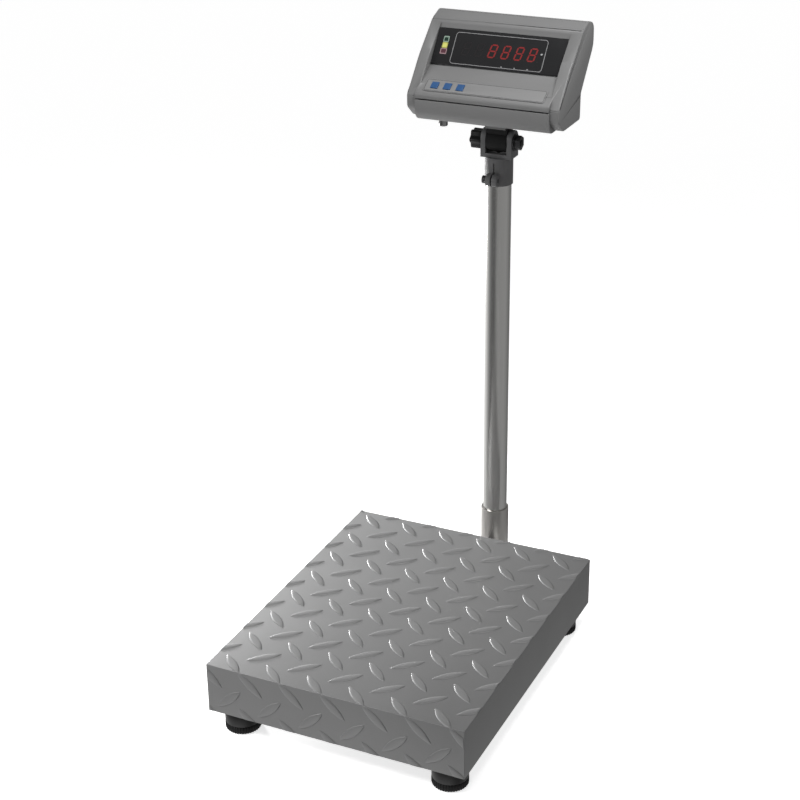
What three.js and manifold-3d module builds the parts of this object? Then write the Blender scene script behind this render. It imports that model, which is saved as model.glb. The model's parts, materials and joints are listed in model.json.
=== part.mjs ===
// Bench scale: a checker-plate tray on a load cell, and a tilting readout on a column behind it.
// Millimetres. +Z is up, +X is the operator's right, and the operator stands at -Y.
// The origin is on the floor, under the middle of the whole object's box.

import * as THREE from "three";
import { mergeVertices } from "three/addons/utils/BufferGeometryUtils.js";
import Module from "manifold-3d";

const wasm = await Module();
wasm.setup();

// ---- driving dimensions -------------------------------------------------------------------

const GAP = 0.3; // between pieces that touch
const RUN = 0.3; // radial clearance of a pin in its hole

// Tray: a folded pan. Its raised tread stands on the top and on the front and rear skirts.
const TRAY_WIDTH = 400;
const TRAY_DEPTH = 500;
const TREAD = 1.2;
const SHEET = 2.5;
const TRAY_TOP = 117;
const SKIRT_BOTTOM = 38;

// The column stands behind the tray. The head leans back behind the column.
const COLUMN_BEHIND = 345;
const HEAD_BACK = 70;
const TRAY_Y = -(COLUMN_BEHIND + HEAD_BACK - TRAY_DEPTH / 2 - TREAD) / 2;
const COLUMN_Y = TRAY_Y + COLUMN_BEHIND;
const COLUMN_RADIUS = 19.5;
const COLUMN_WALL = 1.5;
const COLUMN_TOP = 714;
const SLEEVE_RADIUS = 22.5;
const SLEEVE_TOP = 121;
const TILT_Z = 744;

// Feet
const FOOT_X = 164;
const FOOT_Y = 215.5;
const FOOT_RADIUS = 26.4;
const SOLE_TOP = 12;
const FOOT_TOP = 36;
const STUD_RADIUS = 6;
const STUD_TOP = 67;

// Lower frame: two tubes along Y, two cross channels and a middle plate
const FRAME_Z = 46;
const FRAME_TOP = 71;
const RAIL_WIDTH = 40;
const RAIL_WALL = 2.5;
const RAIL_REACH = 235;
const RAIL_INSIDE = FOOT_X - RAIL_WIDTH / 2;
const PLATE_REACH = 90;
const PLATE = 6;

// Load cell, along Y: its rear end is bolted down and its front end carries the upper frame
const CELL_LENGTH = 150;
const CELL_WIDTH = 40;
const CELL_Z = 56;
const CELL_HEIGHT = 30;
const CELL_TOP = CELL_Z + CELL_HEIGHT;
const CELL_BOLTS = [50, 66];
const BOLT_RADIUS = 4;
const DEFLECTION = 0.4;

// Upper frame
const UPPER_Z = 90.5;
const UPPER_TOP = 105.5;
const ARM_X = 120;
const ARM_WIDTH = 30;
const ARM_REACH = 228;
const ARM_INSIDE = ARM_X - ARM_WIDTH / 2;
const STOP_Y = 215;
const PAD_Y = 195;

// Neck, measured from the tilt axis
const COLLAR_RADIUS = 21.5;
const COLLAR_BOTTOM = -66;
const WEB_TOP = -17.5;
const WEB_BOTTOM = -24;
const EAR_INSIDE = 17;
const EAR_OUTSIDE = 25;
const EAR_HALF = 14.5;
const EAR_CENTRE = 4;
const LUG = { y: -25.5, z: -55, radius: 9.6, inside: 1, outside: 9 };
const PIVOT_RADIUS = 5;
const BARREL_RADIUS = 16.5;
const KNOB_RADIUS = 15.6;
const KNOB_LOBES = 6;
const KNOB_DEPTH = 1.7;
const KNOB_FROM = -43;

// Head, measured from the tilt axis: [y, z, corner radius], seen from the right side
const HEAD_HALF = 120;
const PANEL_HALF = 105.5;
const WALL = 2.5;
const CHEEK = [
  [-72, 58, 10],
  [-50, 40, 14],
  [20, 40, 5],
  [21, 80, 10],
  [HEAD_BACK, 141, 20],
  [HEAD_BACK, 175, 14],
  [46, 180, 8],
  [24, 172, 20],
  [-27, 127.5, 150],
  [-72, 76, 8],
];
const LIP_FRONT = -75.5;
const LIP_BOTTOM = 38.5;
const LIP_BACK = -40;
const LIP_BEND = 18;
const SEAM = 72.2; // height of the seam at the front
const SEAM_ANGLE = 39.9;
const WINDOW_FOOT = [-23, 112.5];
const WINDOW_ANGLE = 52.1;
const WINDOW_LENGTH = 59;
const WINDOW_HALF = 102.4;
const BROW_LENGTH = 66; // from the window's foot to the brow, along the window
const SHELF_ANGLE = 30.7;
const KEY_X = [-79.2, -59, -38.6];
const KEY_FROM_NOSE = 18.5;
const KEY_SIZE = [11.2, 12.6];
const KEY_PROUD = 2.2;
const STRIP = { x: 0, width: 190, from: 6.5, to: 31, thick: 0.8 };
const SOCKET = { x: -72.5, y: -45, radius: 7 };
const SWITCH = { x: 70, z: 60, width: 19, height: 13 };

// ---- shapes -------------------------------------------------------------------------------

const X = new THREE.Vector3(1, 0, 0);
const Y = new THREE.Vector3(0, 1, 0);
const Z = new THREE.Vector3(0, 0, 1);
// An outline is drawn in the two axes that follow its own: (y, z) for x, (z, x) for y, (x, y) for z.
const FACING = {
  x: { basis: new THREE.Matrix4().makeBasis(Y, Z, X), along: X },
  y: { basis: new THREE.Matrix4().makeBasis(Z, X, Y), along: Y },
  z: { basis: new THREE.Matrix4(), along: Z },
};

const points = (list) => list.map(([a, b]) => new THREE.Vector2(a, b));
const radians = THREE.MathUtils.degToRad;

function prism(axis, outline, from, to, holes = []) {
  const shape = new THREE.Shape(points(outline));
  shape.holes = holes.map((hole) => new THREE.Path(points(hole)));
  const geometry = new THREE.ExtrudeGeometry(shape, { depth: to - from, bevelEnabled: false });
  geometry.applyMatrix4(FACING[axis].basis);
  return geometry.translate(...FACING[axis].along.clone().multiplyScalar(from));
}

function circle(radius, sides = 24, a = 0, b = 0) {
  return Array.from({ length: sides }, (_, i) => {
    const turn = (2 * Math.PI * (i + 0.5)) / sides;
    return [a + radius * Math.cos(turn), b + radius * Math.sin(turn)];
  });
}

const hexagon = (acrossFlats) => circle(acrossFlats / Math.sqrt(3), 6);
const rectangle = (a0, a1, b0, b1) => [[a0, b0], [a1, b0], [a1, b1], [a0, b1]];
const box = (x0, x1, y0, y1, z0, z1) => prism("z", rectangle(x0, x1, y0, y1), z0, z1);
const rod = (axis, radius, from, to, sides = 24) => prism(axis, circle(radius, sides), from, to);
const tube = (axis, outer, inner, from, to, sides = 32) =>
  prism(axis, circle(outer, sides), from, to, [circle(inner, sides)]);

function lathe(profile, sides = 24) {
  return new THREE.LatheGeometry(points(profile), sides).rotateX(Math.PI / 2);
}

// Replaces each corner [a, b, radius] of a closed outline by an arc.
function rounded(corners, step = 16) {
  return corners.flatMap(([a, b, radius = 0], i) => {
    const here = new THREE.Vector2(a, b);
    if (!radius) return [[a, b]];
    const before = new THREE.Vector2(...corners.at(i - 1)).sub(here).normalize();
    const after = new THREE.Vector2(...corners[(i + 1) % corners.length]).sub(here).normalize();
    const bend = Math.acos(-before.dot(after));
    const reach = radius * Math.tan(bend / 2);
    const centre = before.clone().add(after).setLength(radius / Math.cos(bend / 2)).add(here);
    const turn = Math.sign(after.cross(before)) * bend;
    const start = before.multiplyScalar(reach).add(here).sub(centre);
    const count = Math.max(2, Math.ceil(THREE.MathUtils.radToDeg(bend) / step));
    return Array.from({ length: count + 1 }, (_, k) =>
      start.clone().rotateAround(new THREE.Vector2(), (turn * k) / count).add(centre).toArray(),
    );
  });
}

// Moves each side of a path to its left, which is inwards on an anticlockwise outline.
function offset(path, distance, closed = false) {
  const last = path.length - 1;
  const left = path.map(([a, b], i) => {
    const [c, d] = path[(i + 1) % path.length];
    const length = Math.hypot(c - a, d - b);
    return [(b - d) / length, (c - a) / length];
  });
  return path.map(([a, b, radius = 0], i) => {
    const before = closed ? left.at(i - 1) : left[Math.max(i - 1, 0)];
    const after = closed ? left[i] : left[Math.min(i, last - 1)];
    const share = distance / (1 + before[0] * after[0] + before[1] * after[1]);
    const turn = Math.sign(before[0] * after[1] - before[1] * after[0]);
    const bend = radius && Math.max(1, radius - turn * distance);
    return [a + (before[0] + after[0]) * share, b + (before[1] + after[1]) * share, bend];
  });
}

function toSolid(geometry) {
  const bare = geometry.clone();
  bare.deleteAttribute("normal");
  bare.deleteAttribute("uv");
  const merged = mergeVertices(bare, 1e-4);
  return new wasm.Manifold(
    new wasm.Mesh({
      numProp: 3,
      vertProperties: new Float32Array(merged.attributes.position.array),
      triVerts: new Uint32Array(merged.index.array),
    }),
  );
}

function toGeometry(solid) {
  const mesh = solid.getMesh();
  const geometry = new THREE.BufferGeometry();
  geometry.setAttribute("position", new THREE.BufferAttribute(mesh.vertProperties, 3));
  geometry.setIndex(new THREE.BufferAttribute(mesh.triVerts, 1));
  return geometry;
}

const join = (...all) => toGeometry(all.map(toSolid).reduce((sum, next) => sum.add(next)));
const cut = (from, ...tools) =>
  toGeometry(tools.map(toSolid).reduce((rest, tool) => rest.subtract(tool), toSolid(from)));
const common = (first, second) => toGeometry(toSolid(first).intersect(toSolid(second)));
const at = (geometry, x, y, z) => geometry.clone().translate(x, y, z);
const mirrored = (make) => [make(-1), make(1)];
const span = (side, a, b) => (side > 0 ? [a, b] : [-b, -a]);

// ---- materials ----------------------------------------------------------------------------

const finish = (color, roughness, metalness) =>
  new THREE.MeshStandardMaterial({ color, roughness, metalness });
const TRAY_PAINT = finish(0x8b8b8b, 0.45, 0.3);
const FRAME_PAINT = finish(0x3c3e40, 0.6, 0.2);
const STAINLESS = finish(0xb9b9b6, 0.25, 1);
const CAST_PAINT = finish(0x5c5d5e, 0.5, 0.3);
const CASE = finish(0x868686, 0.5, 0);
const ALUMINIUM = finish(0xb4b7ba, 0.4, 1);
const STEEL = finish(0x8d8f92, 0.35, 1);
const BLACK = finish(0x1a1a1b, 0.6, 0);
const RUBBER = finish(0x202020, 0.85, 0);
const WINDOW = finish(0x26272a, 0.15, 0);
const DIGIT = finish(0x8a2a2c, 0.4, 0);
const BOARD = finish(0x1d5a34, 0.5, 0);
const LAMP = finish(0xc8b340, 0.3, 0);
const KEY_BLUE = finish(0x2f6296, 0.4, 0);
const STRIP_GREY = finish(0x949494, 0.5, 0);
const BATTERY = finish(0x4a4d52, 0.6, 0);

const scale = new THREE.Group();

function add(group, name, geometry, material) {
  const mesh = new THREE.Mesh(geometry, material);
  mesh.name = name;
  group.add(mesh);
  return mesh;
}

function place(parent, x, y, z, tilt = 0) {
  const group = new THREE.Group();
  group.position.set(x, y, z);
  group.rotation.x = radians(tilt);
  parent.add(group);
  return group;
}

// ---- base ---------------------------------------------------------------------------------

const under = place(scale, 0, TRAY_Y, 0);
const corners = [[-1, -1], [1, -1], [-1, 1], [1, 1]];

function lowerFrame() {
  const holes = corners.map(([i, j]) =>
    at(rod("z", STUD_RADIUS + 0.4, FRAME_Z - 1, FRAME_Z + 5, 12), i * FOOT_X, j * FOOT_Y, 0));
  const rails = mirrored((side) => {
    const [x0, x1] = span(side, RAIL_INSIDE, RAIL_INSIDE + RAIL_WIDTH);
    const hollow = rectangle(FRAME_Z + RAIL_WALL, FRAME_TOP - RAIL_WALL, x0 + RAIL_WALL, x1 - RAIL_WALL);
    return prism("y", rectangle(FRAME_Z, FRAME_TOP, x0, x1), -RAIL_REACH, RAIL_REACH, [hollow]);
  });
  const reach = RAIL_INSIDE + 1;
  const channels = mirrored((side) => {
    const [y0, y1] = span(side, RAIL_REACH - RAIL_WIDTH, RAIL_REACH);
    const inside = box(-reach - 1, reach + 1, y0 + 3, y1 - 3, FRAME_Z - 1, FRAME_TOP - 3);
    return cut(box(-reach, reach, y0, y1, FRAME_Z, FRAME_TOP), inside);
  });
  const plate = box(-reach, reach, -PLATE_REACH, PLATE_REACH, FRAME_Z, FRAME_Z + PLATE);
  const bolts = CELL_BOLTS.map((y) => at(rod("z", BOLT_RADIUS + RUN, 0, 90, 12), 0, y, 0));
  return cut(join(...rails, ...channels, plate), ...holes, ...bolts);
}

// The beam's middle is thinned by two joined bores, so that it bends as a parallelogram.
function loadCell() {
  const radius = 9;
  const apart = 13;
  const middle = (CELL_Z + CELL_TOP) / 2;
  const neck = Math.asin(3 / radius);
  const arc = (centre, from) => Array.from({ length: 13 }, (_, i) => {
    const turn = from + ((2 * Math.PI - 2 * neck) * i) / 12;
    return [centre + radius * Math.cos(turn), middle + radius * Math.sin(turn)];
  });
  const bores = [...arc(apart, Math.PI + neck), ...arc(-apart, neck)];
  const half = CELL_LENGTH / 2;
  const beam = prism("x", rectangle(-half, half, CELL_Z, CELL_TOP), -CELL_WIDTH / 2, CELL_WIDTH / 2, [bores]);
  const below = CELL_BOLTS.map((y) =>
    at(rod("z", BOLT_RADIUS + RUN, CELL_Z - 1, CELL_Z + 18, 12), 0, y, 0));
  const above = CELL_BOLTS.map((y) =>
    at(rod("z", BOLT_RADIUS + RUN, CELL_TOP - 16, CELL_TOP + 1, 12), 0, -y, 0));
  return cut(beam, ...below, ...above);
}

// The block that stands between an end of the cell and a frame.
const cellSeat = (side, z0, z1) =>
  box(-CELL_WIDTH / 2, CELL_WIDTH / 2, ...span(side, CELL_BOLTS[0] - 9, CELL_LENGTH / 2), z0, z1);

function cellSpacer() {
  const holes = CELL_BOLTS.map((y) => at(rod("z", BOLT_RADIUS + RUN, FRAME_Z, CELL_TOP, 12), 0, y, 0));
  return cut(cellSeat(1, FRAME_Z + PLATE + GAP, CELL_Z - GAP), ...holes);
}

// A hexagon-headed screw; the head spans head0 to head1 and the shank runs to tip.
function hexScrew(axis, acrossFlats, radius, head0, head1, tip) {
  const [s0, s1] = tip > head1 ? [head1 - 1, tip] : [tip, head0 + 1];
  return join(prism(axis, hexagon(acrossFlats), head0, head1), rod(axis, radius, s0, s1, 12));
}

add(under, "lower_frame", lowerFrame(), FRAME_PAINT);
add(under, "load_cell", loadCell(), ALUMINIUM);
add(under, "cell_spacer", cellSpacer(), STEEL);
CELL_BOLTS.forEach((y, i) => {
  const bolt = hexScrew("z", 13, BOLT_RADIUS, FRAME_Z - 5.6, FRAME_Z - GAP, CELL_Z + 17);
  add(under, `cell_bolt_lower_${i + 1}`, at(bolt, 0, y, 0), STEEL);
});

// Overload stops stand just under the upper frame's arms.
corners.forEach(([i, j], n) => {
  const stop = hexScrew("z", 13, BOLT_RADIUS, FRAME_TOP + GAP, FRAME_TOP + 6, UPPER_Z - DEFLECTION - 0.4);
  add(under, `overload_stop_${n + 1}`, at(stop, i * ARM_X, j * STOP_Y, 0), STEEL);
});

// ---- feet ---------------------------------------------------------------------------------

const footBody = lathe([
  [0, SOLE_TOP + GAP],
  [FOOT_RADIUS - 1, SOLE_TOP + GAP],
  [FOOT_RADIUS, SOLE_TOP + 1.3],
  [FOOT_RADIUS, FOOT_TOP - 1.5],
  [FOOT_RADIUS - 1.5, FOOT_TOP],
  [STUD_RADIUS, FOOT_TOP],
  [STUD_RADIUS, STUD_TOP],
  [0, STUD_TOP],
]);
const footSole = lathe([
  [0, 0],
  [FOOT_RADIUS - 1.5, 0],
  [FOOT_RADIUS, 1.5],
  [FOOT_RADIUS, SOLE_TOP],
  [0, SOLE_TOP],
]);
const jamNut = prism("z", hexagon(19), FOOT_TOP + 1.3, FRAME_Z - GAP, [circle(STUD_RADIUS + RUN, 12)]);
corners.forEach(([i, j], n) => {
  const corner = place(under, i * FOOT_X, j * FOOT_Y, 0);
  add(corner, `foot_jam_nut_${n + 1}`, jamNut, STEEL);
  add(corner, `foot_body_${n + 1}`, footBody, BLACK);
  add(corner, `foot_sole_${n + 1}`, footSole, RUBBER);
});

// ---- weighing platform --------------------------------------------------------------------

function upperFrame() {
  const arms = mirrored((side) => {
    const [x0, x1] = span(side, ARM_INSIDE, ARM_INSIDE + ARM_WIDTH);
    const hollow = rectangle(UPPER_Z + 2, UPPER_TOP - 2, x0 + 2, x1 - 2);
    return prism("y", rectangle(UPPER_Z, UPPER_TOP, x0, x1), -ARM_REACH, ARM_REACH, [hollow]);
  });
  const reach = ARM_INSIDE + 1;
  const flat = (y0, y1) => box(-reach, reach, y0, y1, UPPER_Z, UPPER_Z + PLATE);
  const bolts = CELL_BOLTS.map((y) => at(rod("z", BOLT_RADIUS + RUN, 80, 110, 12), 0, -y, 0));
  const seatOnCell = cellSeat(-1, CELL_TOP + GAP + DEFLECTION, UPPER_Z + 1);
  const flats = [flat(-PLATE_REACH, PLATE_REACH), flat(-205, -180), flat(180, 205)];
  return cut(join(...arms, ...flats, seatOnCell), ...bolts);
}

function tray() {
  const x = TRAY_WIDTH / 2;
  const y = TRAY_DEPTH / 2;
  const outside = box(-x, x, -y - TREAD, y + TREAD, SKIRT_BOTTOM, TRAY_TOP);
  const inside = box(SHEET - x, x - SHEET, SHEET - y, y - SHEET, SKIRT_BOTTOM - 1, TRAY_TOP - TREAD - SHEET);
  return cut(outside, inside);
}

add(under, "upper_frame", upperFrame(), FRAME_PAINT);
CELL_BOLTS.forEach((y, i) => {
  const head = UPPER_Z + PLATE + GAP;
  const bolt = hexScrew("z", 13, BOLT_RADIUS, head, head + 5.3, CELL_TOP - 14.5);
  add(under, `cell_bolt_upper_${i + 1}`, at(bolt, 0, -y, 0), STEEL);
});
corners.forEach(([i, j], n) => {
  const pad = rod("z", 10, UPPER_TOP + GAP, TRAY_TOP - TREAD - SHEET - GAP);
  add(under, `tray_pad_${n + 1}`, at(pad, i * ARM_X, j * PAD_Y, 0), RUBBER);
});
add(under, "tray", tray(), TRAY_PAINT);

// ---- column -------------------------------------------------------------------------------

const column = place(scale, 0, COLUMN_Y, 0);

// A channel, open below, with a block that meets the lower frame's rear cross channel.
function columnBracket() {
  const [low, high, half, wall] = [14, 36, 30, 4];
  const start = TRAY_Y + RAIL_REACH - RAIL_WIDTH - 5 - COLUMN_Y;
  const channel = cut(
    box(-half, half, start, 27, low, high),
    box(wall - half, half - wall, start - 1, 28, low - 1, high - wall),
  );
  return join(channel, box(-half, half, start, start + RAIL_WIDTH + 5, high - 1, FRAME_Z - GAP));
}

const BOSS = { z: 92, radius: 9, reach: 29 };

function columnSleeve() {
  const bore = COLUMN_RADIUS + GAP;
  const ring = tube("z", SLEEVE_RADIUS, bore, 36 + GAP, SLEEVE_TOP, 40);
  const boss = at(rod("y", BOSS.radius, bore + 1.5, BOSS.reach), 0, 0, BOSS.z);
  const hole = at(rod("y", BOLT_RADIUS + RUN, 10, BOSS.reach + 1, 12), 0, 0, BOSS.z);
  return cut(join(ring, boss), hole);
}

add(column, "column_bracket", columnBracket(), FRAME_PAINT);
add(column, "column_sleeve", columnSleeve(), STAINLESS);
const clamp = hexScrew("y", 13, BOLT_RADIUS, BOSS.reach + GAP, BOSS.reach + 5.6, COLUMN_RADIUS + 0.4);
add(column, "sleeve_clamp_screw", at(clamp, 0, 0, BOSS.z), STEEL);
const pipe = tube("z", COLUMN_RADIUS, COLUMN_RADIUS - COLUMN_WALL, 37, COLUMN_TOP, 40);
add(column, "column_tube", pipe, STAINLESS);

// ---- neck ---------------------------------------------------------------------------------

const neck = place(scale, 0, COLUMN_Y, TILT_Z);

function neckYoke() {
  const collar = rod("z", COLLAR_RADIUS, COLLAR_BOTTOM, WEB_BOTTOM + 1, 40);
  const web = box(-EAR_OUTSIDE, EAR_OUTSIDE, -EAR_HALF, EAR_HALF, WEB_BOTTOM, WEB_TOP);
  const bore = rod("z", COLUMN_RADIUS + GAP, COLLAR_BOTTOM - 1, COLUMN_TOP - TILT_Z + GAP, 40);
  const cableHole = rod("z", 5, COLLAR_BOTTOM, WEB_TOP + 1, 12);
  const top = Array.from({ length: 13 }, (_, i) => {
    const turn = (Math.PI * i) / 12;
    return [EAR_HALF * Math.cos(turn), EAR_CENTRE + EAR_HALF * Math.sin(turn)];
  });
  const ear = [[-EAR_HALF, WEB_BOTTOM], [EAR_HALF, WEB_BOTTOM], ...top];
  const ears = mirrored((side) => prism("x", ear, ...span(side, EAR_INSIDE, EAR_OUTSIDE)));
  const lugs = mirrored((side) => {
    const across = span(side, LUG.inside, LUG.outside);
    const round = prism("x", circle(LUG.radius, 20, LUG.y, LUG.z), ...across);
    return join(round, prism("x", rectangle(LUG.y, -18, LUG.z - 9, LUG.z + 9), ...across));
  });
  const slit = box(-LUG.inside, LUG.inside, -40, -10, COLLAR_BOTTOM - 1, COLUMN_TOP - TILT_Z);
  const pinch = at(rod("x", 3 + RUN, -12, 12, 12), 0, LUG.y, LUG.z);
  const pivot = rod("x", PIVOT_RADIUS + RUN, -30, 30, 16);
  return cut(join(collar, web, ...ears, ...lugs), bore, cableHole, slit, pinch, pivot);
}

function starKnob() {
  const sides = KNOB_LOBES * 8;
  const outline = Array.from({ length: sides }, (_, i) => {
    const turn = (2 * Math.PI * i) / sides;
    const radius = KNOB_RADIUS - KNOB_DEPTH * (1 - Math.cos(KNOB_LOBES * turn));
    return [radius * Math.cos(turn), radius * Math.sin(turn)];
  });
  const grip = prism("x", outline, KNOB_FROM, -EAR_OUTSIDE - GAP);
  return join(grip, rod("x", PIVOT_RADIUS, -30, EAR_OUTSIDE + 12, 16));
}

const pinchHead = rod("x", 6, -16, -LUG.outside - GAP, 20);
const pinchBolt = join(pinchHead, rod("x", 3, -LUG.outside - 1, LUG.outside, 12));
const nutSeat = EAR_OUTSIDE + 2.6;
const tiltNut = prism("x", hexagon(20), nutSeat, nutSeat + 8, [circle(PIVOT_RADIUS + RUN, 16)]);
add(neck, "neck_yoke", neckYoke(), CAST_PAINT);
add(neck, "pinch_bolt", at(pinchBolt, 0, LUG.y, LUG.z), STEEL);
const washer = tube("x", 13.2, PIVOT_RADIUS + RUN, EAR_OUTSIDE + GAP, EAR_OUTSIDE + 2.3, 20);
add(neck, "tilt_washer", washer, STEEL);
add(neck, "tilt_nut", tiltNut, STEEL);
add(neck, "star_knob", starKnob(), BLACK);

// ---- head ---------------------------------------------------------------------------------

const head = place(scale, 0, COLUMN_Y, TILT_Z);
const BRACKET_SCREWS = [[-30, -3], [30, -3]];
const tangent = (angle) => [Math.cos(radians(angle)), Math.sin(radians(angle))];
const along = ([y, z], angle, distance) => {
  const [u, v] = tangent(angle);
  return [y + u * distance, z + v * distance];
};
const seamAt = (distance, below = 0) =>
  along(along([LIP_FRONT, SEAM], SEAM_ANGLE, distance), SEAM_ANGLE - 90, below);
// The keypad shelf runs from the foot of the window down to the nose, where the front turns under.
const SHELF_TOP = along(WINDOW_FOOT, WINDOW_ANGLE, -1);
const SHELF_LENGTH = (SHELF_TOP[0] - LIP_FRONT) / tangent(SHELF_ANGLE)[0];
const NOSE = along(SHELF_TOP, SHELF_ANGLE, -SHELF_LENGTH);
const BROW = along(WINDOW_FOOT, WINDOW_ANGLE, BROW_LENGTH);

const whole = (outline, half) => prism("x", outline, -half, half);
const aboveSeam = whole([seamAt(-60), seamAt(260), seamAt(260, -200), seamAt(-60, -200)], 200);
const belowSeam = whole(
  [seamAt(-60, GAP), seamAt(-60, 200), seamAt(260, 200), seamAt(260, GAP)], 200);
const screwSeats = [[-1, 48], [1, 48], [-1, 132], [1, 132]];
const SCREW_X = 111.5;
const seat = (geometry, [side, distance]) => {
  const [y, z] = seamAt(distance);
  return geometry.clone().rotateX(radians(SEAM_ANGLE)).translate(side * SCREW_X, y, z);
};

function headBracket() {
  const [saddle, waist] = [[18, 22], [12, 12.5]].map(([reach, low]) =>
    box(-EAR_INSIDE + GAP, EAR_INSIDE - GAP, -reach, reach, low, 36.5));
  const flange = box(-42, 42, -25, 18, 36, 40 - 0.4);
  const holes = BRACKET_SCREWS.map(([x, y]) => at(rod("z", 2.5 + RUN, 30, 45, 12), x, y, 0));
  return cut(join(saddle, waist, flange), rod("x", BARREL_RADIUS + GAP, -20, 20, 32), ...holes);
}

function frontHousing() {
  const shell = common(whole(rounded(CHEEK), HEAD_HALF), aboveSeam);
  const inner = common(whole(rounded(offset(CHEEK, WALL, true)), HEAD_HALF - WALL), aboveSeam);
  const beyondNose = along(NOSE, SHELF_ANGLE, -10);
  const recessOutline = [BROW, SHELF_TOP, beyondNose, [beyondNose[0], 200], [BROW[0], 200]];
  const recess = whole(recessOutline, PANEL_HALF - WALL);
  const skinPath = [BROW, SHELF_TOP, [NOSE[0], NOSE[1], 6], [LIP_FRONT, SEAM + 0.8]];
  const skin = prism("x", rounded([...skinPath, ...offset(skinPath, WALL).reverse()]),
    0.5 - PANEL_HALF, PANEL_HALF - 0.5);
  const nose = rounded([[LIP_FRONT, SEAM + 0.8], seamAt(2, -0.6), seamAt(36, -0.6),
    along(NOSE, SHELF_ANGLE, 36), [NOSE[0], NOSE[1], 6]]);
  const ends = mirrored((side) => prism("x", nose, ...span(side, PANEL_HALF - WALL, PANEL_HALF)));
  const ribs = mirrored((side) => common(
    whole(rounded(CHEEK), HEAD_HALF),
    common(aboveSeam, prism("x", rectangle(-100, 100, 0, 200), ...span(side, PANEL_HALF - WALL, PANEL_HALF))),
  ));
  const posts = screwSeats.map((spot) => common(shell, seat(rod("z", 4.5, 0, 40, 12), spot)));
  const screwHoles = screwSeats.map((spot) => seat(rod("z", 1.5 + RUN, -5, 6, 8), spot));
  const behindNose = whole(rectangle(-100, -48, 0, 200), PANEL_HALF - WALL);
  const body = cut(join(cut(shell, inner), ...ribs, ...posts), recess, behindNose);
  return cut(join(body, skin, ...ends), windowHole(), ...keyHoles(), lampHole(), ...screwHoles);
}

const inPlane = (geometry, [y, z], angle) => geometry.clone().rotateX(radians(angle)).translate(0, y, z);
const windowHole = () =>
  inPlane(box(-78, 78, 6, WINDOW_LENGTH - 6, -8, 8), WINDOW_FOOT, WINDOW_ANGLE);
const lampHole = () => inPlane(box(-93, -81, 14, 47, -8, 8), WINDOW_FOOT, WINDOW_ANGLE);
const keyWindows = () => KEY_X.map((x) => {
  const [w, h] = [KEY_SIZE[0] / 2 + GAP, KEY_SIZE[1] / 2 + GAP];
  return box(x - w, x + w, KEY_FROM_NOSE - h, KEY_FROM_NOSE + h, -8, 8);
});

const keyHoles = () => keyWindows().map((hole) => inPlane(hole, NOSE, SHELF_ANGLE));

function rearHousing() {
  const shell = common(whole(rounded(CHEEK), HEAD_HALF), belowSeam);
  const inner = common(whole(rounded(offset(CHEEK, WALL, true)), HEAD_HALF - WALL), whole(
    [seamAt(-60, -5), seamAt(-60, 200), seamAt(260, 200), seamAt(260, -5)], 200));
  const lipTop = SEAM - 0.9;
  const lip = whole(rounded([[LIP_FRONT, lipTop], [LIP_FRONT, LIP_BOTTOM, LIP_BEND],
    [LIP_BACK, LIP_BOTTOM], [LIP_BACK, lipTop]]), PANEL_HALF);
  const [lipSkin, lipFloor] = [LIP_FRONT + WALL, LIP_BOTTOM + WALL];
  const lipInside = whole(rounded([[lipSkin, 90], [lipSkin, lipFloor, LIP_BEND - WALL],
    [LIP_BACK - 4, lipFloor], [LIP_BACK - 4, 90]]), PANEL_HALF - WALL);
  const posts = screwSeats.map((spot) =>
    common(shell, seat(rod("z", 5, -90, -GAP, 12), spot)));
  const bosses = BRACKET_SCREWS.map(([x, y]) => at(rod("z", 5.5, 41, 52, 12), x, y, 0));
  const screwWells = screwSeats.flatMap((spot) =>
    [seat(rod("z", 1.5 + RUN, -90, 5, 8), spot), seat(rod("z", 3.6, -120, -12, 12), spot)]);
  const bracketHoles = BRACKET_SCREWS.map(([x, y]) => at(rod("z", 2.5 + RUN, 30, 50, 12), x, y, 0));
  const socketHole = at(rod("z", 5 + RUN, 30, 50, 16), SOCKET.x, SOCKET.y, 0);
  const [w, h] = [SWITCH.width / 2, SWITCH.height / 2];
  const switchHole = box(SWITCH.x - w, SWITCH.x + w, 10, 30, SWITCH.z - h, SWITCH.z + h);
  const hollow = cut(join(shell, lip), inner, lipInside);
  return cut(join(hollow, ...posts, ...bosses), ...screwWells, ...bracketHoles, socketHole, switchHole);
}

const barrelEnd = EAR_INSIDE - GAP;
add(head, "tilt_barrel", tube("x", BARREL_RADIUS, PIVOT_RADIUS + RUN, -barrelEnd, barrelEnd), BLACK);
add(head, "head_bracket", headBracket(), CASE);
BRACKET_SCREWS.forEach(([x, y], i) => {
  const screw = join(rod("z", 4.5, 32, 36 - GAP, 16), rod("z", 2.5, 35, 48, 12));
  add(head, `bracket_screw_${i + 1}`, at(screw, x, y, 0), STEEL);
});
add(head, "rear_housing", rearHousing(), CASE);
add(head, "front_housing", frontHousing(), CASE);
screwSeats.forEach((spot, i) => {
  const screw = join(rod("z", 3.2, -12 - GAP - 2.4, -12 - GAP, 12), rod("z", 1.5, -13, 5, 8));
  add(head, `housing_screw_${i + 1}`, seat(screw, spot), STEEL);
});

// Behind and on the window's plane
const face = place(head, 0, ...WINDOW_FOOT, WINDOW_ANGLE);
add(face, "display_window", box(-WINDOW_HALF, WINDOW_HALF, GAP, WINDOW_LENGTH, GAP, 1.8), WINDOW);
add(face, "display_module", join(box(-66, 66, 14, 44, -10, -1), box(-76, 76, 9, 50, -11, -9.4)), DIGIT);
add(face, "status_lamps", box(-92, -82, 15, 46, -8, -1), LAMP);

// On the keypad shelf
const shelf = place(head, 0, ...NOSE, SHELF_ANGLE);

function keypadStrip() {
  const half = STRIP.width / 2;
  const outline = rectangle(STRIP.x - half, STRIP.x + half, STRIP.from, STRIP.to).map((c) => [...c, 3]);
  return cut(prism("z", rounded(outline, 30), GAP, GAP + STRIP.thick), ...keyWindows());
}

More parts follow.
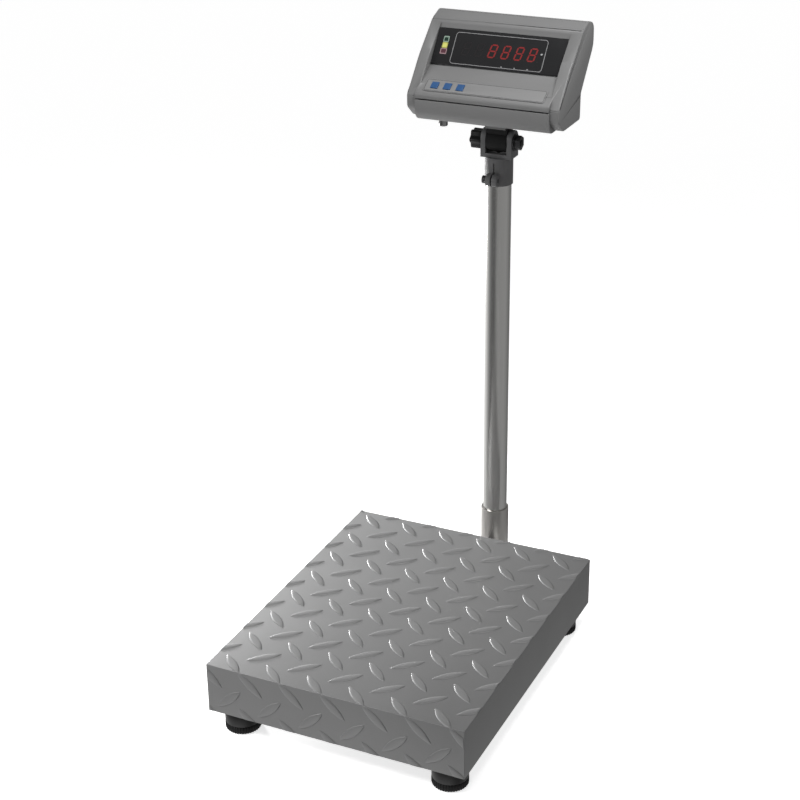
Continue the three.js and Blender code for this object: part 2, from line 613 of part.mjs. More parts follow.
// A key's cap stands in the housing's hole, and its flange behind the skin keeps it in.
function key(x) {
  const [w, h] = [KEY_SIZE[0] / 2, KEY_SIZE[1] / 2];
  const [y0, y1] = [KEY_FROM_NOSE - h, KEY_FROM_NOSE + h];
  const cap = box(x - w, x + w, y0, y1, -WALL - 1, KEY_PROUD);
  return join(cap, box(x - w - 1.5, x + w + 1.5, y0 - 1.5, y1 + 1.5, -WALL - GAP - 1, -WALL - GAP));
}

add(shelf, "keypad_strip", keypadStrip(), STRIP_GREY);
KEY_X.forEach((x, i) => add(shelf, `key_${i + 1}`, key(x), KEY_BLUE));

// Inside the rear housing
add(head, "battery", box(-20, 75, -62, -14, 46, 80), BATTERY);
const boardGroup = place(head, 0, 33, 80, 51.2);
add(boardGroup, "main_board", box(-85, 85, 6, 60, 12, 13.6), BOARD);

// A round chassis socket under the head, and a rocker switch at the back
const socket = lathe([[0, 34], [4.4, 34], [4.4, 27], [6.2, 27], [SOCKET.radius, 28],
  [SOCKET.radius, LIP_BOTTOM - GAP], [5, LIP_BOTTOM - GAP], [5, 50], [0, 50]], 20);
add(head, "cable_socket", at(socket, SOCKET.x, SOCKET.y, 0), STEEL);

function powerSwitch() {
  const [w, h] = [SWITCH.width / 2, SWITCH.height / 2];
  const frame = box(SWITCH.x - w - 2, SWITCH.x + w + 2, 21 + GAP, 23, SWITCH.z - h - 1.5, SWITCH.z + h + 1.5);
  const body = box(SWITCH.x - w + GAP, SWITCH.x + w - GAP, 8, 22, SWITCH.z - h + GAP, SWITCH.z + h - GAP);
  return cut(join(frame, body), box(SWITCH.x - 7.5, SWITCH.x + 7.5, 13, 30, SWITCH.z - 5, SWITCH.z + 5));
}

// The rocker's two faces meet in a shallow V. It turns about an axis along Z, and rests on one side.
const ROCKER = { pivotY: 19.4, half: 6.6, back: -1, edge: 4, valley: 2.8, height: 9.2, lean: 5 };

function switchRocker() {
  const { half, back, edge, valley } = ROCKER;
  const outline = [[-half, back], [half, back], [half, edge], [0, valley], [-half, edge]];
  const rocker = prism("z", outline, -ROCKER.height / 2, ROCKER.height / 2);
  return at(rocker.rotateZ(radians(ROCKER.lean)), SWITCH.x, ROCKER.pivotY, SWITCH.z);
}

add(head, "power_switch", powerSwitch(), BLACK);
add(head, "switch_rocker", switchRocker(), BLACK);

export default scale;
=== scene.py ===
"""The looks of the bench scale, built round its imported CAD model.

Shapes are drawn in millimetres and turned into metres by MM. Their places come from the frame.
"""

import json
import math

import bmesh
import bpy
from mathutils import Matrix, Vector


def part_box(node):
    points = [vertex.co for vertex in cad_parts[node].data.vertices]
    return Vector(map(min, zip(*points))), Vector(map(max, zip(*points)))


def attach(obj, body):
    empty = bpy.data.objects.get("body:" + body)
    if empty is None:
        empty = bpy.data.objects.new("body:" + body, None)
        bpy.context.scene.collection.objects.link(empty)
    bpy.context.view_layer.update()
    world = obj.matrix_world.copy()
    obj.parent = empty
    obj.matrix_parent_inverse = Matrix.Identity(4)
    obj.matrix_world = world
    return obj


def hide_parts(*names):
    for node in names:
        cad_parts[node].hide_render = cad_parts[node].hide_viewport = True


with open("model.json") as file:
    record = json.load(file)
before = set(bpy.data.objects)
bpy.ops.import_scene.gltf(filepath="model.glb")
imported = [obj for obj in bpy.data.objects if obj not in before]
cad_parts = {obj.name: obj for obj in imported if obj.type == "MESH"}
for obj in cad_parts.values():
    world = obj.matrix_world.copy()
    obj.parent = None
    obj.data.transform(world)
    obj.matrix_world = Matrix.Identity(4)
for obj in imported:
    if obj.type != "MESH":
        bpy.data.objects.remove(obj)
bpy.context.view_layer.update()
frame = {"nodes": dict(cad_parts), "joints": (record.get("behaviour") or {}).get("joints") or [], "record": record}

MM = 0.001
TILT_AXIS = next(j for j in frame["joints"] if j["name"] == "head_tilt")["pos_m"]


# ---- camera, floor and light ----------------------------------------------------------------

CAMERA_PLACE = (0.9603, -2.1244, 1.5088)
CAMERA_AZIMUTH = 25.355
CAMERA_ELEVATION = 24.913
CAMERA_ROLL = -0.739
CAMERA_LENS = 79.34


def turned(degrees, axis):
    return Matrix.Rotation(math.radians(degrees), 4, axis)


def add_camera():
    data = bpy.data.cameras.new("camera")
    data.lens = CAMERA_LENS
    data.sensor_width = 36
    data.clip_end = 60
    camera = bpy.data.objects.new("camera", data)
    facing = turned(CAMERA_AZIMUTH, "Z") @ turned(90 - CAMERA_ELEVATION, "X") @ turned(CAMERA_ROLL, "Z")
    camera.matrix_world = Matrix.Translation(CAMERA_PLACE) @ facing
    bpy.context.scene.collection.objects.link(camera)
    bpy.context.scene.camera = camera


FLOOR_REACH = 20
FLOOR_EMISSION = 0.72


def add_floor():
    mesh = bpy.data.meshes.new("floor")
    reach = FLOOR_REACH
    mesh.from_pydata([(-reach, -reach, 0), (reach, -reach, 0), (reach, reach, 0), (-reach, reach, 0)],
                     [], [(0, 1, 2, 3)])
    floor = bpy.data.objects.new("floor", mesh)
    floor.location.z = -0.2 * MM
    bpy.context.scene.collection.objects.link(floor)
    material = bpy.data.materials.new("floor_white")
    material.use_nodes = True
    shader = material.node_tree.nodes["Principled BSDF"]
    shader.inputs["Base Color"].default_value = (0.9, 0.9, 0.9, 1)
    shader.inputs["Roughness"].default_value = 0.9
    shader.inputs["Specular IOR Level"].default_value = 0.0
    shader.inputs["Emission Color"].default_value = (1, 1, 1, 1)
    shader.inputs["Emission Strength"].default_value = FLOOR_EMISSION
    mesh.materials.append(material)
    # The object is lit by the sky below the horizon too, so the floor only shows and takes shadows.
    floor.visible_glossy = False
    floor.visible_diffuse = False


# Brightness of the studio round the object: (compass turn from the front, towards +X, and brightness).
STUDIO = [(-180, 0.19), (-170, 1.15), (-112, 1.05), (-92, 0.84), (-77, 0.62), (-64, 0.4), (-52, 0.24),
          (-35, 0.13), (-8, 0.12), (8, 0.26), (20, 0.32), (96, 0.36), (121, 0.3), (136, 0.22), (180, 0.19)]
# The light that a white floor throws up, by the same turn.
FLOOR_GLOW = [(-180, 0.8), (-60, 1.5), (-20, 2.05), (30, 2.05), (60, 0.45), (112, 0.35), (130, 0.8),
              (180, 0.8)]
SKY = (0.3, 0.3, 0.3, 1)
# Heights of a direction, from -1 straight down to 1 straight up, between which one part fades to the next.
RING_TO_SKY = (-0.1, 0.35)
RING_TO_FLOOR = (-0.5, -0.6)


def add_studio():
    world = bpy.data.worlds.new("studio")
    bpy.context.scene.world = world
    world.use_nodes = True
    nodes = world.node_tree.nodes
    link = world.node_tree.links.new
    nodes.clear()
    direction = nodes.new("ShaderNodeTexCoord")
    parts = nodes.new("ShaderNodeSeparateXYZ")
    link(direction.outputs["Generated"], parts.inputs[0])
    forward = nodes.new("ShaderNodeMath")
    forward.operation = "MULTIPLY"
    forward.inputs[1].default_value = -1
    link(parts.outputs["Y"], forward.inputs[0])
    compass = nodes.new("ShaderNodeMath")
    compass.operation = "ARCTAN2"
    link(parts.outputs["X"], compass.inputs[0])
    link(forward.outputs[0], compass.inputs[1])
    share = nodes.new("ShaderNodeMapRange")
    share.inputs["From Min"].default_value = -math.pi
    share.inputs["From Max"].default_value = math.pi
    link(compass.outputs[0], share.inputs["Value"])

    def ring(levels):
        ramp = nodes.new("ShaderNodeValToRGB")
        stops = ramp.color_ramp.elements
        for i, (turn, level) in enumerate(levels):
            position = (turn + 180) / 360
            stop = stops[i] if i < 2 else stops.new(position)
            stop.position = position
            stop.color = (level, level, level, 1)
        link(share.outputs[0], ramp.inputs[0])
        return ramp.outputs["Color"]

    def blended(below, start, end):
        """Goes over from one colour to the next as the direction's height goes from start to end."""
        height = nodes.new("ShaderNodeMapRange")
        height.inputs["From Min"].default_value = start
        height.inputs["From Max"].default_value = end
        link(parts.outputs["Z"], height.inputs["Value"])
        mix = nodes.new("ShaderNodeMix")
        mix.data_type = "RGBA"
        link(height.outputs[0], mix.inputs["Factor"])
        link(below, mix.inputs["A"])
        return mix

    upper = blended(ring(STUDIO), *RING_TO_SKY)
    upper.inputs["B"].default_value = SKY
    lower = blended(upper.outputs["Result"], *RING_TO_FLOOR)
    link(ring(FLOOR_GLOW), lower.inputs["B"])
    lit = nodes.new("ShaderNodeBackground")
    link(lower.outputs["Result"], lit.inputs["Color"])
    seen = nodes.new("ShaderNodeBackground")
    seen.inputs["Color"].default_value = (1, 1, 1, 1)
    rays = nodes.new("ShaderNodeLightPath")
    either = nodes.new("ShaderNodeMixShader")
    link(rays.outputs["Is Camera Ray"], either.inputs[0])
    link(lit.outputs[0], either.inputs[1])
    link(seen.outputs[0], either.inputs[2])
    out = nodes.new("ShaderNodeOutputWorld")
    link(either.outputs[0], out.inputs["Surface"])


# name, place, target, diameter (all in metres), power in watts and spread in degrees
LIGHTS = [
    ("tray_light", (-0.9, -0.9, 1.1), (-0.15, -0.3, 0.117), 0.5, 4.3, 90),
    ("rim_light", (-1.25, 0.75, 0.26), (0, -0.05, 0.117), 0.26, 5, 60),
    ("head_light", (0.5, 0.0, 1.9), (0, 0.22, 0.87), 0.5, 2.4, 70),
]


def add_light(name, place, target, size, power, spread):
    data = bpy.data.lights.new(name, "AREA")
    data.shape = "DISK"
    data.size = size
    data.energy = power
    data.spread = math.radians(spread)
    light = bpy.data.objects.new(name, data)
    light.location = place
    light.rotation_mode = "QUATERNION"
    light.rotation_quaternion = (Vector(target) - Vector(place)).to_track_quat("-Z", "Y")
    light.visible_camera = False
    bpy.context.scene.collection.objects.link(light)


# ---- materials --------------------------------------------------------------------------------

def finish(name, color, roughness, metallic=0.0, mottle=0.05, patch=25, grain=700, bump=0.05,
           depth=0.05, stretch=(1, 1, 1), specular=0.5, painted_hollow_shade=0.0):
    """A surface with broad patches of tone, fine grain in its sheen, and a shallow grain in relief.

    mottle is the share of tone that comes and goes, patch and grain are noise scales per metre,
    bump is the strength and depth the height in millimetres of the relief, and painted_hollow_shade
    is how much painted shade darkens inner corners and seams.
    """
    material = bpy.data.materials.new(name)
    material.use_nodes = True
    nodes = material.node_tree.nodes
    link = material.node_tree.links.new
    shader = nodes["Principled BSDF"]
    shader.inputs["Metallic"].default_value = metallic
    shader.inputs["Specular IOR Level"].default_value = specular
    place = nodes.new("ShaderNodeTexCoord")
    mapping = nodes.new("ShaderNodeMapping")
    mapping.inputs["Scale"].default_value = stretch
    link(place.outputs["Object"], mapping.inputs[0])

    def noise(scale, detail):
        texture = nodes.new("ShaderNodeTexNoise")
        texture.inputs["Scale"].default_value = scale
        texture.inputs["Detail"].default_value = detail
        link(mapping.outputs[0], texture.inputs["Vector"])
        return texture.outputs["Fac"]

    fine = noise(grain, 3)
    tones = nodes.new("ShaderNodeValToRGB")
    for stop, place_at, share in zip(tones.color_ramp.elements, (0.3, 0.7), (1 - mottle, 1 + mottle)):
        stop.position = place_at
        stop.color = (*(c * share for c in color), 1)
    blend = nodes.new("ShaderNodeMix")
    blend.inputs["Factor"].default_value = 0.35
    link(noise(patch, 4), blend.inputs["A"])
    link(fine, blend.inputs["B"])
    link(blend.outputs["Result"], tones.inputs[0])
    surface = tones.outputs["Color"]
    # Painted shade: an occlusion probe darkens the colour in inner corners and seams.
    if painted_hollow_shade:
        surface = with_painted_hollow_shade(material, surface, painted_hollow_shade)
    link(surface, shader.inputs["Base Color"])
    sheen = nodes.new("ShaderNodeMapRange")
    sheen.inputs["From Min"].default_value = 0.3
    sheen.inputs["From Max"].default_value = 0.7
    sheen.inputs["To Min"].default_value = roughness * 0.85
    sheen.inputs["To Max"].default_value = min(1, roughness * 1.15)
    link(fine, sheen.inputs["Value"])
    link(sheen.outputs[0], shader.inputs["Roughness"])
    relief = nodes.new("ShaderNodeBump")
    relief.inputs["Strength"].default_value = bump
    relief.inputs["Distance"].default_value = depth * MM
    link(fine, relief.inputs["Height"])
    link(relief.outputs[0], shader.inputs["Normal"])
    return material


# How far, in millimetres, the painted shade in hollows looks for nearby surfaces.
HOLLOW_SHADE_REACH = 9


def with_painted_hollow_shade(material, unshaded_color, painted_hollow_shade):
    """The unshaded colour, with painted shade darkening the corners and seams."""
    nodes = material.node_tree.nodes
    link = material.node_tree.links.new
    hollow = nodes.new("ShaderNodeAmbientOcclusion")
    hollow.samples = 8
    hollow.inputs["Distance"].default_value = HOLLOW_SHADE_REACH * MM
    share = nodes.new("ShaderNodeMapRange")
    share.inputs["From Min"].default_value = 0.25
    share.inputs["From Max"].default_value = 0.85
    share.inputs["To Min"].default_value = 1 - painted_hollow_shade
    link(hollow.outputs["AO"], share.inputs["Value"])
    darker = nodes.new("ShaderNodeMix")
    darker.data_type = "RGBA"
    darker.blend_type = "MULTIPLY"
    darker.inputs["Factor"].default_value = 1
    link(unshaded_color, darker.inputs["A"])
    link(share.outputs[0], darker.inputs["B"])
    return darker.outputs["Result"]


def glowing(name, color, glow, strength, roughness=0.3):
    material = finish(name, color, roughness, mottle=0.1, patch=200, bump=0.02)
    shader = material.node_tree.nodes["Principled BSDF"]
    shader.inputs["Emission Color"].default_value = (*glow, 1)
    shader.inputs["Emission Strength"].default_value = strength
    return material


# One material for each slot of the record.
FINISHES = {
    "tray_paint": finish("tray_enamel", (0.205, 0.205, 0.205), 0.5, 0.2, 0.06, 9, 1400, 0.25, 0.06),
    "frame_paint": finish("frame_enamel", (0.055, 0.057, 0.06), 0.5, 0.0, 0.1, 14, 900, 0.3, 0.06),
    "stainless": finish("brushed_stainless", (0.62, 0.615, 0.6), 0.2, 1.0, 0.05, 40, 900, 0.12, 0.02,
                        stretch=(1, 1, 0.02)),
    # The cast paint and the case plastic carry painted shade in their hollows.
    "cast_paint": finish("cast_enamel", (0.122, 0.122, 0.124), 0.5, 0.0, 0.08, 60, 520, 0.4, 0.1,
                         specular=0.3, painted_hollow_shade=0.5),
    "bracket_paint": finish("bracket_enamel", (0.14, 0.14, 0.14), 0.45, 0.1, 0.06, 60, 700, 0.3, 0.08),
    "case": finish("case_plastic", (0.188, 0.188, 0.188), 0.5, 0.0, 0.035, 16, 1500, 0.3, 0.05, painted_hollow_shade=0.45),
    "aluminium": finish("milled_aluminium", (0.6, 0.61, 0.62), 0.33, 1.0, 0.05, 60, 1200, 0.15, 0.02,
                        stretch=(0.05, 1, 1)),
    "dark_steel": finish("blackened_steel", (0.05, 0.05, 0.052), 0.42, 0.7, 0.1, 120, 1500, 0.25, 0.03),
    "steel": finish("zinc_plated_steel", (0.42, 0.42, 0.43), 0.34, 1.0, 0.08, 120, 1600, 0.2, 0.02),
    "black_plastic": finish("black_nylon", (0.007, 0.007, 0.007), 0.48, 0.0, 0.15, 80, 1300, 0.4, 0.06,
                            specular=0.28),
    "rubber": finish("black_rubber", (0.014, 0.014, 0.014), 0.75, 0.0, 0.2, 70, 900, 0.5, 0.08,
                     specular=0.3),
    "window": finish("smoked_acrylic", (0.018, 0.018, 0.019), 0.22, 0.0, 0.05, 30, 60, 0.02, 0.01,
                     specular=0.25),
    "digits": finish("digit_block", (0.05, 0.01, 0.01), 0.35, 0.0, 0.1, 100, 900, 0.1, 0.03),
    "board": finish("circuit_board", (0.01, 0.07, 0.025), 0.35, 0.0, 0.15, 90, 1100, 0.2, 0.04),
    "lamp": finish("lamp_block", (0.06, 0.06, 0.06), 0.4, 0.0, 0.1, 100, 900, 0.1, 0.03),
    "key_blue": finish("key_silicone", (0.024, 0.082, 0.21), 0.42, 0.0, 0.08, 150, 1500, 0.3, 0.03),
    "strip": finish("strip_film", (0.215, 0.215, 0.215), 0.46, 0.0, 0.03, 40, 2200, 0.2, 0.02),
    "battery": finish("battery_case", (0.03, 0.032, 0.036), 0.5, 0.0, 0.1, 60, 900, 0.2, 0.05),
}
# Nodes whose surface differs from the rest of their slot.
OWN_FINISH = {
    "column_sleeve": finish("drawn_stainless", (0.5, 0.485, 0.465), 0.34, 1.0, 0.06, 50, 900, 0.15, 0.02,
                            stretch=(1, 1, 0.03)),
    "tilt_barrel": finish("matt_nylon", (0.009, 0.009, 0.009), 0.7, 0.0, 0.1, 80, 1300, 0.3, 0.05,
                          specular=0.2),
    "cable_socket": finish("socket_nickel", (0.33, 0.33, 0.33), 0.18, 1.0, 0.08, 120, 1600, 0.1, 0.01),
}
SLOT_OF = {part["node"]: part["material_slot"] for part in frame["record"]["subparts"]}
BODY_OF = {node: body for body, nodes in frame["record"]["behaviour"]["bodies"].items() for node in nodes}


# ---- making pieces ----------------------------------------------------------------------------

def new_object(name, shape):
    mesh = bpy.data.meshes.new(name)
    shape.to_mesh(mesh)
    shape.free()
    thing = bpy.data.objects.new(name, mesh)
    bpy.context.scene.collection.objects.link(thing)
    return thing


def settle(thing, smooth=38):
    """Applies the modifiers, and shades the faces smooth across every edge flatter than smooth degrees."""
    bpy.context.view_layer.update()
    evaluated = thing.evaluated_get(bpy.context.evaluated_depsgraph_get())
    mesh = bpy.data.meshes.new_from_object(evaluated)
    thing.modifiers.clear()
    thing.data = mesh
    mesh.shade_smooth()
    mesh.set_sharp_from_angle(angle=math.radians(smooth))
    return thing


def finished(thing, body, material, *stands_for, slot=None):
    thing.data.materials.clear()
    thing.data.materials.append(material)
    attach(thing, body)
    if stands_for:
        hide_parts(*stands_for)
    return thing


def bevel(thing, width, segments=3, angle=30):
    modifier = thing.modifiers.new("round", "BEVEL")
    modifier.width = width * MM
    modifier.segments = segments
    modifier.limit_method = "ANGLE"
    modifier.angle_limit = math.radians(angle)
    modifier.miter_outer = "MITER_ARC"
    return modifier


def whole_faces(node):
    """The shape of a CAD node with its flat faces made whole."""
    shape = bmesh.new()
    shape.from_mesh(frame["nodes"][node].data)
    bmesh.ops.remove_doubles(shape, verts=shape.verts, dist=0.002 * MM)
    bmesh.ops.dissolve_limit(shape, angle_limit=math.radians(0.5), verts=shape.verts, edges=shape.edges)
    return shape


def refine(node, width, segments=3, smooth=38):
    """A copy of a CAD node whose edges are rounded."""
    thing = new_object(f"{node}_finished", whole_faces(node))
    bevel(thing, width, segments)
    settle(thing, smooth)
    slot = SLOT_OF[node]
    material = OWN_FINISH.get(node, FINISHES[slot])
    return finished(thing, BODY_OF[node], material, node, slot=slot)


def spot(x, y, z, tilt=0.0, base=Matrix.Identity(4)):
    """A place given in millimetres from base, and tilted about X."""
    return base @ Matrix.Translation(Vector((x, y, z)) * MM) @ turned(tilt, "X")


def loft(rings, closed_ends=True):
    """A skin over rings of the same number of points, one after another."""
    shape = bmesh.new()
    rows = [[shape.verts.new(point) for point in ring] for ring in rings]
    for low, high in zip(rows, rows[1:]):
        for i in range(len(low)):
            j = (i + 1) % len(low)
            shape.faces.new((low[i], low[j], high[j], high[i]))
    if closed_ends:
        shape.faces.new(list(reversed(rows[0])))
        shape.faces.new(rows[-1])
    return shape


def lathe(profile, sides=96, ripple=None):
    """Turns a profile of (radius, height) about Z. ripple(radius, height, angle) may change a radius."""
    rings = []
    for radius, height in profile:
        ring = []
        for i in range(sides):
            angle = 2 * math.pi * i / sides
            reach = ripple(radius, height, angle) if ripple else radius
            ring.append((reach * math.cos(angle), reach * math.sin(angle), height))
        rings.append(ring)
    return loft(rings)


def plate(outline, low, high):
    """An outline in x and y, made solid from low to high."""
    return loft([[(x, y, low) for x, y in outline], [(x, y, high) for x, y in outline]])


def round_box(x0, x1, y0, y1, radius, steps=6):
    """The outline of a rectangle with round corners, anticlockwise."""
    corners = [(x1 - radius, y1 - radius), (x0 + radius, y1 - radius),
               (x0 + radius, y0 + radius), (x1 - radius, y0 + radius)]
    outline = []
    for quarter, (x, y) in enumerate(corners):
        for k in range(steps + 1):
            angle = math.pi / 2 * (quarter + k / steps)
            outline.append((x + radius * math.cos(angle), y + radius * math.sin(angle)))
    return outline


def band(outer, inner, low, high):
    """The flat band between two outlines with the same number of points."""
    rings = [[(x, y, z) for x, y in line] for line, z in
             ((inner, low), (outer, low), (outer, high), (inner, high), (inner, low))]
    return loft(rings, closed_ends=False)


def place_shape(shape, place):
    bmesh.ops.transform(shape, matrix=place @ Matrix.Scale(MM, 4), verts=shape.verts)
    bmesh.ops.remove_doubles(shape, verts=shape.verts, dist=0.001 * MM)
    bmesh.ops.recalc_face_normals(shape, faces=shape.faces)
    return shape


def centre_of(node):
    low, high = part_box(node)
    return (low + high) / 2 / MM


# ---- tray -------------------------------------------------------------------------------------

TREAD = 1.2
SHEET = 2.5
FOLD = 1.0
LUG_LENGTH = 54
LUG_WIDTH = 14
LUG_TURN = 42
LUG_PITCH = 65.25
LUG_ROOT = 0.2  # how deep a lug's rim lies in the sheet
EDGE = 1.2  # bare strip at a cut edge
tray_low, tray_high = (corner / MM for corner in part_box("tray"))
TRAY_HALF = (tray_high.x - tray_low.x) / 2
TRAY_DEEP = (tray_high.y - tray_low.y) / 2 - TREAD
TRAY_FACE = tray_high.z - TREAD
TRAY_CENTRE = (tray_low.y + tray_high.y) / 2
ROUND_FOLD = math.pi * FOLD / 2
SKIRT_END = TRAY_DEEP - FOLD + ROUND_FOLD + (TRAY_FACE - tray_low.z - FOLD)


def folded(x, v, rise):
    """Where a point of the unfolded plate lies: v runs from the front skirt over the top to the rear one."""
    side = math.copysign(1, v)
    past = abs(v) - (TRAY_DEEP - FOLD)
    if past <= 0:
        return Vector((x, v, TRAY_FACE + rise))
    turn = min(past / FOLD, math.pi / 2)
    down = max(past - ROUND_FOLD, 0)
    y = TRAY_DEEP - FOLD + (FOLD + rise) * math.sin(turn)
    return Vector((x, side * y, TRAY_FACE - FOLD + (FOLD + rise) * math.cos(turn) - down))


def on_skirt(down):
    """The unfolded place of a point that lies down below the top of the front skirt."""
    return -(TRAY_DEEP - FOLD + ROUND_FOLD + down - FOLD)


def lug_places():
    """Centre and turn of each lug: the two directions alternate in both rows and columns."""
    for i in range(7):
        for j in range(8):
            yield -165 + LUG_PITCH * i, 222.5 - LUG_PITCH * j, -LUG_TURN
    for i in range(7):
        for j in range(-1, 7):
            yield -197.6 + LUG_PITCH * i, 190 - LUG_PITCH * j, LUG_TURN
    for side in (1, -1):
        for i in range(7):
            yield -195 + LUG_PITCH * i, side * on_skirt(17.5), -LUG_TURN * side
            yield -165 + LUG_PITCH * i, side * on_skirt(50), LUG_TURN * side
            yield -197 + LUG_PITCH * i, side * on_skirt(79), -LUG_TURN * side


def add_lug(shape, x, v, turn):
    """A lens with pointed ends, steep flanks and an almost flat crest."""
    across = [-1, -0.97, -0.92, -0.85, -0.75, -0.5, 0, 0.5, 0.75, 0.85, 0.92, 0.97, 1]
    lengthwise = 18
    spin = Matrix.Rotation(math.radians(turn), 2)
    rows = []
    for i in range(1, lengthwise):
        u = 2 * i / lengthwise - 1
        half = LUG_WIDTH / 2 * (1 - u * u)
        row = []
        for w in across:
            flat = spin @ Vector((u * LUG_LENGTH / 2, w * half))
            flank = (1 - abs(w) ** 8) * (1 - 0.14 * w * w)
            rise = (TREAD + LUG_ROOT) * flank * (1 - abs(u) ** 7) - LUG_ROOT
            row.append(shape.verts.new((x + flat.x, v + flat.y, rise)))
        rows.append(row)
    for low, high in zip(rows, rows[1:]):
        for k in range(len(across) - 1):
            shape.faces.new((low[k], high[k], high[k + 1], low[k + 1]))
    for row, end in ((rows[0], -1), (rows[-1], 1)):
        flat = spin @ Vector((end * LUG_LENGTH / 2, 0))
        tip = shape.verts.new((x + flat.x, v + flat.y, -LUG_ROOT))
        for k in range(len(across) - 1):
            pair = (row[k], row[k + 1]) if end < 0 else (row[k + 1], row[k])
            shape.faces.new((*pair, tip))


def cut_at(shape, point, outward):
    """Cuts the lugs off beyond a line, and closes the cut with a wall down to the plate."""
    everything = shape.verts[:] + shape.edges[:] + shape.faces[:]
    made = bmesh.ops.bisect_plane(shape, geom=everything, plane_co=point, plane_no=outward, clear_outer=True)
    edges = [e for e in made["geom_cut"] if isinstance(e, bmesh.types.BMEdge)]
    wall = bmesh.ops.extrude_edge_only(shape, edges=edges)["geom"]
    for vertex in (v for v in wall if isinstance(v, bmesh.types.BMVert)):
        vertex.co.z = -2 * LUG_ROOT


def lugs():
    shape = bmesh.new()
    for x, v, turn in lug_places():
        add_lug(shape, x, v, turn)
    for side in (-1, 1):
        cut_at(shape, (side * (TRAY_HALF - EDGE), 0, 0), (side, 0, 0))
        cut_at(shape, (0, side * (SKIRT_END - EDGE / 2), 0), (0, side, 0))
    for vertex in shape.verts:
        vertex.co = folded(*vertex.co)
    return shape


def pan():
    """The folded sheet under the tread: a lid and four skirts."""
    shape = bmesh.new()
    bmesh.ops.create_cube(shape, size=2)
    for vertex in shape.verts:
        x, y, z = vertex.co
        vertex.co = (x * TRAY_HALF, y * TRAY_DEEP, TRAY_FACE if z > 0 else tray_low.z)
    bottom = [f for f in shape.faces if f.normal.z < -0.5]
    bmesh.ops.delete(shape, geom=bottom, context="FACES_ONLY")
    edges = [e for e in shape.edges if not e.is_boundary]
    bmesh.ops.bevel(shape, geom=edges, offset=FOLD, segments=5, profile=0.5, affect="EDGES")
    return shape


def add_tray():
    shape = pan()
    sheet = new_object("tray_sheet", place_shape(shape, spot(0, TRAY_CENTRE, 0)))
    thickness = sheet.modifiers.new("thickness", "SOLIDIFY")
    thickness.thickness = SHEET * MM
    thickness.offset = -1
    settle(sheet, 40)
    finished(sheet, "tray_pan", FINISHES["tray_paint"], "tray", slot="tray_paint")
    tread = new_object("tray_tread", place_shape(lugs(), spot(0, TRAY_CENTRE, 0)))
    settle(tread, 55)
    finished(tread, "tray_pan", FINISHES["tray_paint"], "tray", slot="tray_paint")


# ---- feet -------------------------------------------------------------------------------------

FOOT_SHOULDER = 36
SOLE_RIBS = 40
RIB_DEPTH = 1.1


def add_foot(number):
    body, sole = f"foot_body_{number}", f"foot_sole_{number}"
    low, high = (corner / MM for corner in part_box(sole))
    centre = spot((low.x + high.x) / 2, (low.y + high.y) / 2, 0)
    radius = (high.x - low.x) / 2
    sole_top = high.z
    stud_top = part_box(body)[1].z / MM
    shoulder = FOOT_SHOULDER
    upper = [(radius - 2, sole_top + 0.3), (radius - 0.6, sole_top + 0.8), (radius - 0.2, sole_top + 2),
             (radius - 0.2, shoulder - 3.5), (radius - 0.8, shoulder - 1.4), (radius - 2.2, shoulder - 0.4),
             (radius - 4, shoulder), (10, shoulder), (9, shoulder + 0.6)]
    profile = [(0.1, sole_top + 0.3), *upper, *thread(9, shoulder + 0.6, stud_top)]
    thing = new_object(f"foot_{number}_body", place_shape(lathe(profile, 72), centre))
    finished(settle(thing, 45), BODY_OF[body], FINISHES["black_plastic"], body, slot="black_plastic")

    def ribbed(reach, height, angle):
        if reach < radius - 2.4:
            return reach
        return reach - RIB_DEPTH * (0.5 - 0.5 * math.cos(SOLE_RIBS * angle)) ** 0.6

    rim = [(0.1, 1.2), (radius - 9, 1.2), (radius - 8, 0), (radius - 2.2, 0), (radius - 0.6, 1.2),
           (radius, 2.4), (radius, sole_top - 1.6), (radius - 0.5, sole_top - 0.6),
           (radius - 1.6, sole_top), (0.1, sole_top)]
    thing = new_object(f"foot_{number}_sole", place_shape(lathe(rim, 320, ribbed), centre))
    finished(settle(thing, 50), BODY_OF[sole], FINISHES["rubber"], sole, slot="rubber")


def thread(start, low, high, radius=6.0, pitch=1.75):
    """The outline of a threaded rod that stands on a collar of radius start."""
    outline = [(start - 0.8, low), (radius, low)]
    turns = int((high - low - 2) / pitch)
    for i in range(turns):
        z = low + 0.8 + i * pitch
        outline += [(radius, z), (radius - 0.9, z + pitch / 2)]
    return outline + [(radius, high - 1), (radius - 1, high), (0.1, high)]


# ---- the other CAD nodes ----------------------------------------------------------------------

# Edge rounding in millimetres of the CAD nodes that show.
ROUNDED = {
    "lower_frame": 1.2, "upper_frame": 1.0, "column_bracket": 1.0, "column_sleeve": 0.6,
    "sleeve_clamp_screw": 0.5, "neck_yoke": 1.1, "pinch_bolt": 0.7, "tilt_washer": 0.4, "tilt_nut": 0.6,
    "star_knob": 0.9, "tilt_barrel": 0.5,
    "display_window": 0.4, "keypad_strip": 0.2, "cable_socket": 0.4, "power_switch": 0.5,
    "switch_rocker": 0.5, "bracket_screw_1": 0.5, "bracket_screw_2": 0.5,
}


def add_column():
    low, high = (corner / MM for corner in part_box("column_tube"))
    radius = (high.x - low.x) / 2
    bore = radius - 1.5
    profile = [(bore, low.z), (radius - 0.4, low.z), (radius, low.z + 0.4), (radius, high.z - 0.4),
               (radius - 0.4, high.z), (bore, high.z), (bore, low.z)]
    shape = lathe(profile, 128)
    caps = [f for f in shape.faces if len(f.verts) > 4]
    bmesh.ops.delete(shape, geom=caps, context="FACES_ONLY")
    thing = new_object("column_stainless", place_shape(shape, spot(0, centre_of("column_tube").y, 0)))
    finished(settle(thing), "base", FINISHES["stainless"], "column_tube", slot="stainless")


